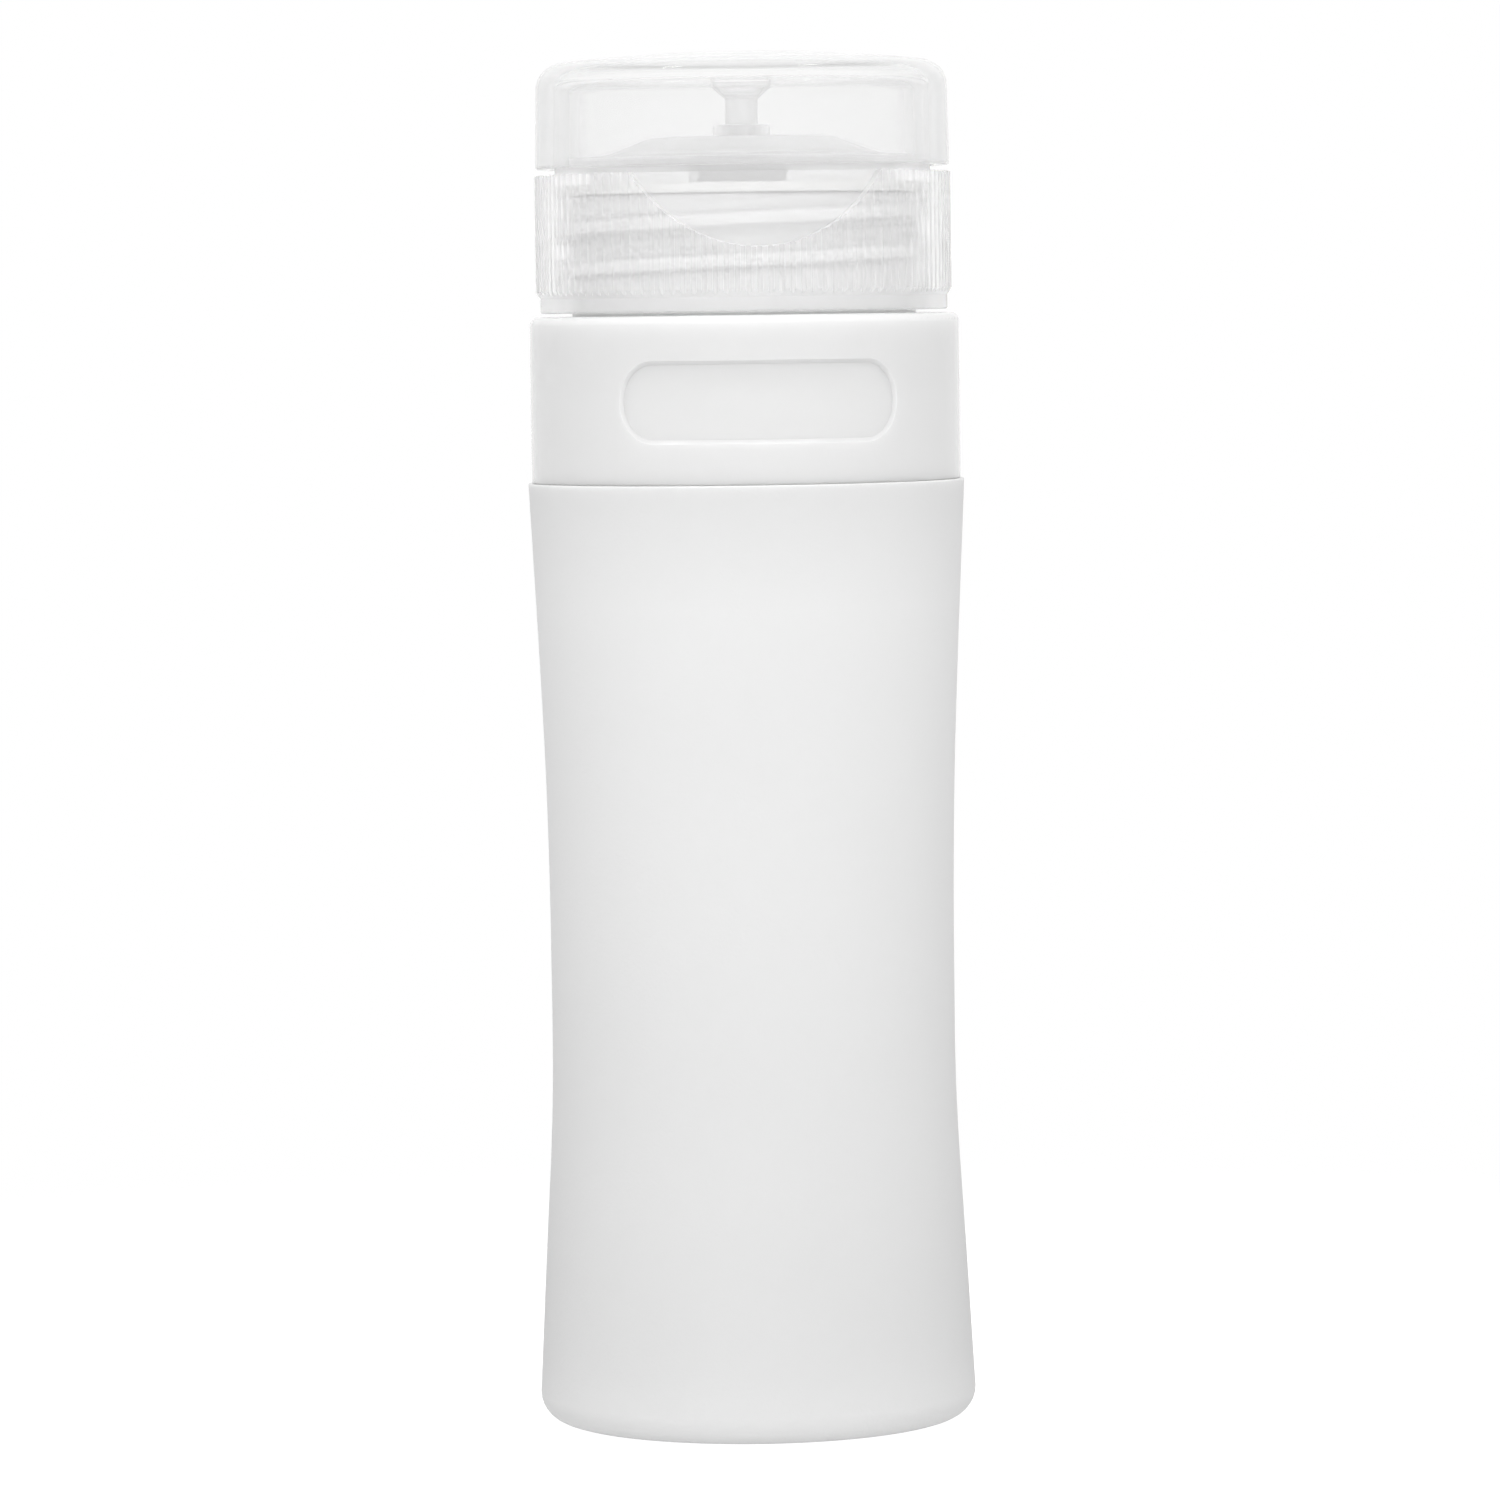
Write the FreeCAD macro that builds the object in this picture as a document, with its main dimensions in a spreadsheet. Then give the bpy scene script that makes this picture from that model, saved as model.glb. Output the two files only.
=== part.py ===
import FreeCAD, Part
import math
import os
import re
import Sketcher
from FreeCAD import Rotation, Vector

# A squeezable travel bottle: a soft silicone flask, a rigid threaded neck clamped in it by a collar,
# and a screw cap with a slit valve and a hinged flip lid. Millimetres, +Z up, the origin at the middle
# of the foot; the thumb scoop and the label recess face -Y, the lid's hinge is at +Y.

SIZES = (
    # heights of the pieces in the stack
    ("bottle_height", "92.7"),
    ("collar_height", "16.3"),
    ("cap_gap", "0.3"),
    ("cap_height", "13.5"),
    ("lid_gap", "0.6"),
    ("lid_height", "11.35"),
    # silicone flask
    ("foot_r", "21.68"),
    ("foot_corner", "2.8"),
    ("foot_land", "5.68"),
    ("foot_rise", "1.5"),
    ("foot_floor", "2.6"),
    ("floor_corner", "2.5"),
    ("waist_depth", "1.76"),
    ("waist_foot", "30.7"),
    ("waist_top", "58.3"),
    ("lower_blend", "7"),
    ("upper_blend", "10"),
    ("lip_inset", "0.26"),
    ("lip_corner", "0.45"),
    ("wall", "2.3"),
    ("shoulder_thick", "2.2"),
    ("flask_neck_wall", "1.85"),
    ("bead_rise", "0.7"),
    ("bead_height", "2.4"),
    ("bead_corner", "0.5"),
    # threaded neck
    ("neck_wall", "1.7"),
    ("neck_lead", "1.5"),
    ("neck_edge", "0.3"),
    ("flange_thick", "2"),
    ("flange_fit", "0.2"),
    ("sleeve_wall", "1.4"),
    ("sleeve_depth", "10"),
    ("sleeve_fit", "0.25"),
    ("thread_pitch", "4"),
    ("thread_depth", "1.1"),
    ("thread_root", "1.9"),
    ("thread_crest", "0.9"),
    ("thread_rise", "2.3"),
    ("thread_lag_share", "0.5"),
    ("thread_embed", "0.3"),
    ("thread_fit", "0.4"),
    # collar
    ("collar_inset", "0.32"),
    ("collar_wall", "1.4"),
    ("collar_corner", "0.8"),
    ("collar_edge", "0.2"),
    ("collar_deck", "1.8"),
    ("collar_fit", "0.3"),
    ("ledge_drop", "0.4"),
    ("label_length", "29.8"),
    ("label_height", "8"),
    ("label_depth", "0.28"),
    ("label_level", "8"),
    ("label_edge", "0.4"),
    # screw cap
    ("cap_inset", "0.67"),
    ("cap_roof", "1"),
    ("step_inset", "0.43"),
    ("step_height", "1.45"),
    ("step_edge", "0.25"),
    ("rib_depth", "0.28"),
    ("rib_foot", "0.7"),
    ("rib_count", "120"),
    ("valley_share", "0.56"),
    ("ring_fit", "0.3"),
    ("ring_height", "1.5"),
    ("ring_corner", "0.3"),
    ("deck_run", "5"),
    ("deck_rise", "1.9"),
    ("plateau_flare", "4.5"),
    ("plateau_rise", "3.6"),
    ("plateau_corner", "5"),
    ("deck_thick", "1"),
    ("spout_r", "2.8"),
    ("spout_wall", "0.85"),
    ("spout_height", "1.2"),
    ("spout_corner", "0.3"),
    ("boss_step", "0.45"),
    ("boss_wall", "1.1"),
    ("boss_depth", "4.2"),
    ("scoop_r", "17"),
    ("scoop_drop", "7.3"),
    ("scoop_depth", "1.2"),
    ("scoop_foot_depth", "0.3"),
    ("scoop_edge", "0.4"),
    ("scoop_reach", "6"),
    # gasket, valve and its retainer
    ("gasket_thick", "1"),
    ("gasket_fit", "0.9"),
    ("gasket_setback", "0.2"),
    ("landing_lap", "0.4"),
    ("valve_flange", "1"),
    ("valve_fit", "0.15"),
    ("valve_skin", "0.5"),
    ("valve_dish", "0.9"),
    ("slit_length", "2.8"),
    ("slit_width", "0.12"),
    ("retainer_wall", "0.7"),
    ("retainer_fit", "0.15"),
    ("retainer_grip", "2.8"),
    ("retainer_lip", "1.5"),
    ("retainer_mouth", "0.35"),
    ("retainer_chamfer", "0.5"),
    # flip lid
    ("lid_inset", "0.08"),
    ("lid_draft", "0.2"),
    ("lid_corner", "2.6"),
    ("lid_crown", "1.2"),
    ("lid_wall", "1.6"),
    ("lid_ceiling", "1.65"),
    ("lid_inner_corner", "1.2"),
    ("lid_rim_corner", "0.35"),
    ("plug_fit", "0.35"),
    ("plug_taper", "0.35"),
    ("plug_flare", "1.35"),
    ("plug_root_height", "0.6"),
    ("plug_cone", "1.2"),
    ("plug_reach", "1"),
    # living hinge at the back
    ("flat_depth", "0.53"),
    ("flat_height", "3"),
    ("strap_width", "8"),
    ("strap_thick", "0.4"),
    ("strap_film", "0.25"),
    ("strap_leaf", "1.8"),
    ("strap_slope", "0.2"),
    # every cutting solid runs past the face it cuts by this much
    ("overrun", "1"),
)

# Radii and levels that follow from the sizes: each piece is set off from the one it sits on or in.
FITS = {
    # radii, from the flask's foot inwards through collar and neck, then out again to cap and lid
    "foot_ring_r": "foot_r - foot_land",
    "waist_r": "foot_r - waist_depth",
    "lip_r": "foot_r - lip_inset",
    "collar_r": "lip_r - collar_inset",
    "flange_r": "collar_r - collar_wall - collar_fit",
    "flask_neck_r": "flange_r - bead_rise",
    "flask_bore_r": "flask_neck_r - flask_neck_wall",
    "sleeve_r": "flask_bore_r - sleeve_fit",
    "neck_bore_r": "sleeve_r - sleeve_wall",
    "neck_r": "neck_bore_r + neck_wall",
    "cap_bore_r": "neck_r + thread_depth + thread_fit",
    "cap_r": "collar_r - cap_inset",
    "step_r": "cap_r - step_inset",
    "lid_r": "cap_r - lid_inset",
    "lid_top_r": "lid_r - lid_draft",
    "ring_r": "lid_r - lid_wall - ring_fit",
    "plateau_foot_r": "ring_r - deck_run",
    "plateau_r": "plateau_foot_r - plateau_flare",
    "gasket_r": "cap_bore_r - gasket_fit",
    "gasket_bore_r": "neck_bore_r + gasket_setback",
    "landing_r": "gasket_bore_r - landing_lap",
    "orifice_r": "spout_r - spout_wall",
    "boss_bore_r": "orifice_r + boss_step",
    "boss_r": "boss_bore_r + boss_wall",
    "valve_bowl_r": "boss_bore_r - valve_fit",
    "retainer_bore_r": "boss_r + retainer_fit",
    "retainer_r": "retainer_bore_r + retainer_wall",
    "retainer_mouth_r": "valve_bowl_r + retainer_mouth",
    "plug_r": "orifice_r - plug_fit",
    "plug_tip_r": "plug_r - plug_taper",
    "plug_root_r": "plug_r + plug_flare",
    # levels, from the flask's shoulder up
    "collar_top": "bottle_height + collar_height",
    "flange_top": "collar_top - collar_deck",
    "flange_foot": "flange_top - flange_thick",
    "sleeve_foot": "flange_foot - sleeve_depth",
    "flask_rim": "flange_foot - flange_fit",
    "bead_foot": "flask_rim - bead_height",
    "ledge": "bead_foot - ledge_drop",
    "label_middle": "bottle_height + label_level",
    "cap_foot": "collar_top + cap_gap",
    "skirt_foot": "cap_foot + step_height",
    "cap_shoulder": "cap_foot + cap_height",
    "landing": "cap_shoulder - cap_roof",
    "neck_rim": "landing - gasket_thick",
    "ring_top": "cap_shoulder + ring_height",
    "plateau_foot": "cap_shoulder + deck_rise",
    "deck_top": "cap_shoulder + plateau_rise",
    "deck_under": "deck_top - deck_thick",
    "spout_rim": "deck_top + spout_height",
    "boss_end": "deck_under - boss_depth",
    "valve_seat": "boss_end - valve_flange",
    "retainer_foot": "valve_seat - retainer_lip",
    "lid_rim": "cap_shoulder + lid_gap",
    "lid_top": "lid_rim + lid_height",
    "lid_shoulder": "lid_top - lid_crown",
    "lid_under": "lid_shoulder - lid_ceiling",
    "plug_root_foot": "lid_under - plug_root_height",
    # turns of the thread that fit on the neck, then slopes, arcs and sweeps
    "thread_start": "collar_top + thread_rise",
    "thread_turns": "(neck_rim - neck_lead - thread_start) / thread_pitch",
    "lower_taper": "waist_depth / waist_foot",
    "upper_taper": "(lip_r - waist_r) / (bottle_height - waist_top)",
    "lower_step": "lower_taper * lower_blend",
    "upper_step": "upper_taper * upper_blend",
    "lower_arc": "(lower_step^2 + (2 * lower_blend)^2) / (2 * lower_step)",
    "upper_arc": "(upper_step^2 + (2 * upper_blend)^2) / (2 * upper_step)",
    "bowl_arc": "(valve_bowl_r^2 + valve_dish^2) / (2 * valve_dish)",
    "crown_arc": "(lid_top_r^2 + lid_crown^2) / (2 * lid_crown)",
    "label_sweep": "(label_length - label_height) / collar_r",
    "label_slope": "label_edge / label_depth",
    "label_low": "label_height / 2 - label_slope * overrun",
    "label_high": "label_height / 2 + label_slope * overrun",
    "scoop_slope": "scoop_edge / scoop_depth",
    "scoop_lean": "(scoop_depth - scoop_foot_depth) / scoop_drop",
    "flat_y": "cap_r - flat_depth",
}
LEFT = 1
RIGHT = -1
FULL_TURN = 360
QUARTER_TURN = 90
EDGE_TOLERANCE = 1e-4

doc = FreeCAD.newDocument("travel_bottle")
sheet = doc.addObject("Spreadsheet::Sheet", "sizes")
for row, (alias, amount) in enumerate(SIZES, start=1):
    sheet.set("A%d" % row, alias)
    sheet.set("B%d" % row, amount)
    sheet.setAlias("B%d" % row, alias)
doc.recompute()


def formula(words):
    """The sum with every fit worked back to sizes, and every size tied to its cell."""
    def spelled(found):
        name = found.group()
        return "(%s)" % formula(FITS[name]) if name in FITS else "sizes." + name

    return re.sub(r"[a-z]\w+", spelled, words)


def measure(words):
    """What the sum comes to with the sheet's present numbers."""
    return float(sheet.evalExpression(formula(words)))


def bind(thing, target, words):
    thing.setExpression(target, formula(words))


def origin_plane(body, role):
    return next(feature for feature in body.Origin.OriginFeatures if feature.Role == role)


def arc_middle(start, end, radius, side):
    """The point halfway along the short arc whose centre lies on the given side of the way."""
    chord = end - start
    left = Vector(-chord.y, chord.x, 0).normalize()
    half = chord.Length / 2
    sagitta = radius - math.sqrt(max(radius ** 2 - half ** 2, 0))
    return (start + end) / 2 - left * side * sagitta


def outline(body, name, corners, plane="XZ_Plane"):
    """A closed sketch through corners (across, up); a corner with (radius, side) ends an arc."""
    sketch = body.newObject("Sketcher::SketchObject", name)
    sketch.AttachmentSupport = (origin_plane(body, plane), "")
    sketch.MapMode = "FlatFace"
    points = [Vector(measure(corner[0]), measure(corner[1]), 0) for corner in corners]
    ends = []
    for index, corner in enumerate(corners):
        start = points[index - 1]
        end = points[index]
        if len(corner) == 2:
            sketch.addGeometry(Part.LineSegment(start, end), False)
            ends.append((1, 2))
            continue
        radius, side = corner[2:]
        middle = arc_middle(start, end, measure(radius), side)
        if side == LEFT:
            sketch.addGeometry(Part.Arc(start, middle, end), False)
            ends.append((1, 2))
        else:
            sketch.addGeometry(Part.Arc(end, middle, start), False)
            ends.append((2, 1))
    for index, corner in enumerate(corners):
        follower = (index + 1) % len(corners)
        place = (index, ends[index][1])
        sketch.addConstraint(Sketcher.Constraint("Coincident", *place, follower, ends[follower][0]))
        for kind, words, axis in (("DistanceX", corner[0], -2), ("DistanceY", corner[1], -1)):
            if words == "0":
                sketch.addConstraint(Sketcher.Constraint("PointOnObject", *place, axis))
                continue
            held = sketch.addConstraint(Sketcher.Constraint(kind, -1, 1, *place, measure(words)))
            bind(sketch, "Constraints[%d]" % held, words)
        if len(corner) > 2:
            held = sketch.addConstraint(Sketcher.Constraint("Radius", index, measure(corner[2])))
            bind(sketch, "Constraints[%d]" % held, corner[2])
    doc.recompute()
    return sketch


def turned(label, corners):
    """A body turned about Z from its half section."""
    body = doc.addObject("PartDesign::Body", label)
    section = outline(body, label + "_section", corners)
    turn = body.newObject("PartDesign::Revolution", label + "_turn")
    turn.Profile = section
    turn.ReferenceAxis = (section, ["V_Axis"])
    turn.Angle = FULL_TURN
    doc.recompute()
    return body


def ring_edge(shape, radius, level):
    """The name of the round edge about Z with this radius at this level."""
    for number, edge in enumerate(shape.Edges, start=1):
        if edge.Degenerated or not isinstance(edge.Curve, Part.Circle):
            continue
        if abs(edge.Curve.Radius - radius) + abs(edge.Curve.Center.z - level) < EDGE_TOLERANCE:
            return "Edge%d" % number
    raise ValueError("no round edge of radius %.3f at %.3f" % (radius, level))


def rounded(body, name, places, radius):
    """Fillets on the round edges at these (radius, level) places."""
    base = body.Tip
    names = [ring_edge(base.Shape, measure(across), measure(up)) for across, up in places]
    fillet = body.newObject("PartDesign::Fillet", name)
    fillet.Base = (base, names)
    bind(fillet, "Radius", radius)
    doc.recompute()


def threaded(body, name, wall_r, crest_r, level, turns):
    """A right-hand helical ridge from the wall to the crest, its first turn's middle at the level."""
    ridge = outline(body, name + "_section", (
        (wall_r, level + " - thread_root / 2"),
        (crest_r, level + " - thread_crest / 2"),
        (crest_r, level + " + thread_crest / 2"),
        (wall_r, level + " + thread_root / 2"),
    ))
    helix = body.newObject("PartDesign::AdditiveHelix", name)
    helix.Profile = ridge
    helix.ReferenceAxis = (ridge, ["V_Axis"])
    helix.Mode = "pitch-turns-angle"
    bind(helix, "Pitch", "thread_pitch")
    bind(helix, "Turns", turns)
    doc.recompute()


def drum(label, radius, low, high):
    """A cylinder about Z between two levels."""
    solid = doc.addObject("Part::Cylinder", label)
    bind(solid, "Radius", radius)
    bind(solid, "Height", "(%s) - (%s)" % (high, low))
    bind(solid, "Placement.Base.z", low)
    return solid


def combined(kind, label, base, tool):
    """One solid added to or cut from another."""
    result = doc.addObject(kind, label)
    result.Base = base
    result.Tool = tool
    doc.recompute()
    return result


# Silicone flask: a waisted shell with a raised foot, and a thinner neck with a bead round its rim.
silicone_bottle = turned("silicone_bottle", (
    ("0", "foot_rise"),
    ("foot_ring_r - foot_rise", "foot_rise"),
    ("foot_ring_r", "0"),
    ("foot_r", "0"),
    ("waist_r + lower_step", "waist_foot - lower_blend"),
    ("waist_r", "waist_foot + lower_blend", "lower_arc", RIGHT),
    ("waist_r", "waist_top - upper_blend"),
    ("waist_r + upper_step", "waist_top + upper_blend", "upper_arc", RIGHT),
    ("lip_r", "bottle_height"),
    ("flask_neck_r", "bottle_height"),
    ("flask_neck_r", "bead_foot"),
    ("flange_r", "bead_foot"),
    ("flange_r", "flask_rim"),
    ("flask_bore_r", "flask_rim"),
    ("flask_bore_r", "bottle_height - shoulder_thick"),
    ("lip_r - wall", "bottle_height - 2 * shoulder_thick"),
    ("waist_r + upper_step - wall", "waist_top + upper_blend"),
    ("waist_r - wall", "waist_top - upper_blend", "upper_arc + wall", LEFT),
    ("waist_r - wall", "waist_foot + lower_blend"),
    ("waist_r + lower_step - wall", "waist_foot - lower_blend", "lower_arc + wall", LEFT),
    ("foot_r - wall", "foot_rise + foot_floor"),
    ("0", "foot_rise + foot_floor"),
))
rounded(silicone_bottle, "flask_foot_round", (("foot_r", "0"),), "foot_corner")
rounded(silicone_bottle, "flask_lip_round", (("lip_r", "bottle_height"),), "lip_corner")
rounded(silicone_bottle, "flask_floor_round", (("foot_r - wall", "foot_rise + foot_floor"),), "floor_corner")
rounded(silicone_bottle, "flask_bead_round", (
    ("flange_r", "flask_rim"),
    ("flange_r", "bead_foot"),
), "bead_corner")

# Threaded neck: a sleeve inside the flask's neck, a flange over its bead and the thread above the collar.
neck_insert = turned("neck_insert", (
    ("neck_bore_r", "sleeve_foot"),
    ("sleeve_r", "sleeve_foot"),
    ("sleeve_r", "flange_foot"),
    ("flange_r", "flange_foot"),
    ("flange_r", "flange_top"),
    ("neck_r", "flange_top"),
    ("neck_r", "neck_rim"),
    ("neck_bore_r", "neck_rim"),
))
rounded(neck_insert, "neck_edges", (
    ("sleeve_r", "sleeve_foot"),
    ("neck_r", "neck_rim"),
    ("neck_bore_r", "neck_rim"),
), "neck_edge")
threaded(neck_insert, "neck_thread", "neck_r - thread_embed", "neck_r + thread_depth",
         "thread_start", "thread_turns")

# Collar: a plain ring round the flask's neck, stepped inside under the bead, with a wrapped label recess
# whose sides slope.
collar_ring = turned("collar_ring", (
    ("flask_neck_r + collar_fit", "bottle_height"),
    ("collar_r", "bottle_height"),
    ("collar_r", "collar_top"),
    ("neck_r + collar_fit", "collar_top"),
    ("neck_r + collar_fit", "flange_top"),
    ("flange_r + collar_fit", "flange_top"),
    ("flange_r + collar_fit", "ledge"),
    ("flask_neck_r + collar_fit", "ledge"),
))
rounded(collar_ring, "collar_top_round", (("collar_r", "collar_top"),), "collar_corner")
rounded(collar_ring, "collar_foot_round", (("collar_r", "bottle_height"),), "collar_edge")
FRONT = -QUARTER_TURN
half_sweep = math.degrees(measure("label_sweep")) / 2
label_ring = turned("label_ring", (
    ("collar_r - overrun", "label_middle - label_low"),
    ("collar_r + overrun", "label_middle - label_high"),
    ("collar_r + overrun", "label_middle + label_high"),
    ("collar_r - overrun", "label_middle + label_low"),
))
label_wedge = drum("label_wedge", "collar_r + 2 * overrun", "label_middle - label_height",
                   "label_middle + label_height")
bind(label_wedge, "Angle", "label_sweep * %r" % math.degrees(1))
label_wedge.Placement.Rotation = Rotation(Vector(0, 0, 1), FRONT - half_sweep)
label_forms = [combined("Part::Common", "label_band", label_ring, label_wedge)]
for name, turn in (("label_end_left", FRONT - half_sweep), ("label_end_right", FRONT + half_sweep)):
    outward = Rotation(Vector(0, 0, 1), turn).multVec(Vector(1, 0, 0))
    end = doc.addObject("Part::Cone", name)
    bind(end, "Radius1", "label_low")
    bind(end, "Radius2", "label_high")
    bind(end, "Height", "2 * overrun")
    bind(end, "Placement.Base.x", "(collar_r - overrun) * %r" % outward.x)
    bind(end, "Placement.Base.y", "(collar_r - overrun) * %r" % outward.y)
    bind(end, "Placement.Base.z", "label_middle")
    end.Placement.Rotation = Rotation(Vector(0, 0, 1), outward)
    label_forms.append(end)
label_block = doc.addObject("Part::MultiFuse", "label_block")
label_block.Shapes = label_forms
label_core = drum("label_core", "collar_r - label_depth", "label_middle - 2 * label_height",
                  "label_middle + 2 * label_height")
label_recess = combined("Part::Cut", "label_recess", label_block, label_core)
collar_shell = combined("Part::Cut", "collar_shell", collar_ring, label_recess)

# Gasket: a flat washer between the neck's rim and the cap.
cap_gasket = turned("cap_gasket", (
    ("gasket_bore_r", "neck_rim"),
    ("gasket_r", "neck_rim"),
    ("gasket_r", "neck_rim + gasket_thick"),
    ("gasket_bore_r", "neck_rim + gasket_thick"),
))

# Screw cap: a ribbed skirt with a thread inside, a raised deck with the spout, and a boss for the valve.
cap_blank = turned("cap_blank", (
    ("cap_bore_r", "cap_foot"),
    ("step_r", "cap_foot"),
    ("step_r", "skirt_foot"),
    ("cap_r + overrun", "skirt_foot + rib_foot * (cap_r + overrun - step_r) / (cap_r - step_r)"),
    ("cap_r + overrun", "cap_shoulder"),
    ("ring_r", "cap_shoulder"),
    ("ring_r", "ring_top"),
    ("plateau_foot_r", "plateau_foot"),
    ("plateau_r", "deck_top"),
    ("spout_r", "deck_top"),
    ("spout_r", "spout_rim"),
    ("orifice_r", "spout_rim"),
    ("orifice_r", "deck_under"),
    ("boss_bore_r", "deck_under"),
    ("boss_bore_r", "boss_end"),
    ("boss_r", "boss_end"),
    ("boss_r", "deck_under"),
    ("plateau_r", "deck_under"),
    ("plateau_foot_r", "plateau_foot - deck_thick"),
    ("landing_r", "plateau_foot - deck_thick"),
    ("landing_r", "landing"),
    ("cap_bore_r", "landing"),
))
rounded(cap_blank, "cap_ring_round", (("ring_r", "ring_top"),), "ring_corner")
rounded(cap_blank, "cap_plateau_round", (
    ("plateau_r", "deck_top"),
    ("plateau_foot_r", "plateau_foot"),
), "plateau_corner")
rounded(cap_blank, "cap_foot_round", (("step_r", "cap_foot"),), "step_edge")
rounded(cap_blank, "cap_spout_round", (("spout_r", "spout_rim"),), "spout_corner")
threaded(cap_blank, "cap_thread", "cap_bore_r + thread_embed", "cap_bore_r - thread_depth",
         "thread_start + thread_lag_share * thread_pitch", "thread_turns - thread_lag_share")


def rib_valleys():
    """Everything outside the ribs: a ring whose bore has one round valley between each two ribs."""
    crest = measure("cap_r")
    count = round(measure("rib_count"))
    pitch = 2 * math.pi / count
    valley = pitch * measure("valley_share") / 2
    low = measure("skirt_foot - overrun / 2")
    high = measure("cap_shoulder + overrun")

    def at(radius, angle):
        return Vector(radius * math.cos(angle), radius * math.sin(angle), low)

    edges = []
    for index in range(count):
        middle = index * pitch
        floor = at(crest - measure("rib_depth"), middle)
        ridge = at(crest, middle + pitch / 2)
        before = at(crest, middle - valley)
        after = at(crest, middle + valley)
        following = at(crest, middle + pitch - valley)
        edges.append(Part.Arc(before, floor, after).toShape())
        edges.append(Part.Arc(after, ridge, following).toShape())
    bore = Part.Wire(edges)
    outside = Part.Wire(Part.makeCircle(crest + 2 * measure("overrun"), Vector(0, 0, low)))
    bore.reverse()
    return Part.Face([outside, bore]).extrude(Vector(0, 0, high - low))


cap_valleys = doc.addObject("Part::Feature", "cap_valleys")
cap_valleys.Shape = rib_valleys()
cap_ribbed = combined("Part::Cut", "cap_ribbed", cap_blank, cap_valleys)

scoop_cone = doc.addObject("Part::Cone", "scoop_cone")
bind(scoop_cone, "Radius1", "scoop_r - scoop_slope * scoop_reach")
bind(scoop_cone, "Radius2", "scoop_r + scoop_slope * overrun")
bind(scoop_cone, "Height", "scoop_reach + overrun")
scoop_cone.Placement.Rotation = Rotation(Vector(1, 0, 0), QUARTER_TURN)
bind(scoop_cone, "Placement.Base.y", "scoop_reach - cap_r")
bind(scoop_cone, "Placement.Base.z", "cap_shoulder - scoop_drop + scoop_r")
scoop_core = doc.addObject("Part::Cone", "scoop_core")
bind(scoop_core, "Radius1", "cap_r - scoop_foot_depth + scoop_lean * scoop_drop")
bind(scoop_core, "Radius2", "cap_r - scoop_foot_depth - scoop_lean * 3 * scoop_r")
bind(scoop_core, "Height", "scoop_drop + 3 * scoop_r")
bind(scoop_core, "Placement.Base.z", "cap_shoulder - 2 * scoop_drop")
thumb_scoop = combined("Part::Cut", "thumb_scoop", scoop_cone, scoop_core)
cap_scooped = combined("Part::Cut", "cap_scooped", cap_ribbed, thumb_scoop)

# Flats at the back of the cap and the lid, on which the hinge strap lies.


def back_flat(label, low, high):
    """A block behind the flat plane between two levels."""
    block = doc.addObject("Part::Box", label)
    bind(block, "Length", "2 * cap_r")
    bind(block, "Width", "flat_depth + 2 * overrun")
    bind(block, "Height", "(%s) - (%s)" % (high, low))
    bind(block, "Placement.Base.x", "-cap_r")
    bind(block, "Placement.Base.y", "flat_y")
    bind(block, "Placement.Base.z", low)
    return block


screw_cap = combined("Part::Cut", "screw_cap", cap_scooped, back_flat(
    "cap_flat", "cap_shoulder - flat_height", "cap_shoulder + overrun"))

# Slit valve: a flanged silicone bowl under the boss, its skin slit crosswise.
valve_blank = turned("valve_blank", (
    ("0", "valve_seat - valve_dish"),
    ("valve_bowl_r", "valve_seat", "bowl_arc", LEFT),
    ("boss_r", "valve_seat"),
    ("boss_r", "boss_end"),
    ("valve_bowl_r", "boss_end"),
    ("valve_bowl_r", "valve_seat + valve_skin"),
    ("0", "valve_seat + valve_skin - valve_dish", "bowl_arc", RIGHT),
))
slit_boxes = []
for name, along, across in (("slit_x", "slit_length", "slit_width"), ("slit_y", "slit_width", "slit_length")):
    box = doc.addObject("Part::Box", name)
    bind(box, "Length", along)
    bind(box, "Width", across)
    bind(box, "Height", "2 * valve_dish + 2 * valve_skin")
    bind(box, "Placement.Base.x", "-" + along + " / 2")
    bind(box, "Placement.Base.y", "-" + across + " / 2")
    bind(box, "Placement.Base.z", "valve_seat - 2 * valve_dish")
    slit_boxes.append(box)
cross_slit = combined("Part::Fuse", "cross_slit", *slit_boxes)
spout_valve = combined("Part::Cut", "spout_valve", valve_blank, cross_slit)

# Valve retainer: a sleeve that grips the boss and holds the valve's flange up against its end.
valve_retainer = turned("valve_retainer", (
    ("retainer_mouth_r", "retainer_foot"),
    ("retainer_r - retainer_chamfer", "retainer_foot"),
    ("retainer_r", "retainer_foot + retainer_chamfer"),
    ("retainer_r", "boss_end + retainer_grip"),
    ("retainer_bore_r", "boss_end + retainer_grip"),
    ("retainer_bore_r", "valve_seat"),
    ("retainer_mouth_r", "valve_seat"),
))

# Flip lid: a shallow crowned cup with the plug pin that closes the spout.
lid_blank = turned("lid_blank", (
    ("0", "spout_rim - plug_reach"),
    ("plug_tip_r", "spout_rim - plug_reach"),
    ("plug_r", "spout_rim"),
    ("plug_r", "plug_root_foot - plug_cone"),
    ("plug_root_r", "plug_root_foot"),
    ("plug_root_r", "lid_under"),
    ("lid_top_r - lid_wall", "lid_under"),
    ("lid_r - lid_wall", "lid_rim"),
    ("lid_r", "lid_rim"),
    ("lid_top_r", "lid_shoulder"),
    ("0", "lid_top", "crown_arc", LEFT),
))
rounded(lid_blank, "lid_top_round", (("lid_top_r", "lid_shoulder"),), "lid_corner")
rounded(lid_blank, "lid_inner_round", (("lid_top_r - lid_wall", "lid_under"),), "lid_inner_corner")
rounded(lid_blank, "lid_rim_round", (("lid_r", "lid_rim"), ("lid_r - lid_wall", "lid_rim")), "lid_rim_corner")
flip_lid = combined("Part::Cut", "flip_lid", lid_blank, back_flat(
    "lid_flat", "lid_rim - overrun", "lid_rim + flat_height"))

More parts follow.
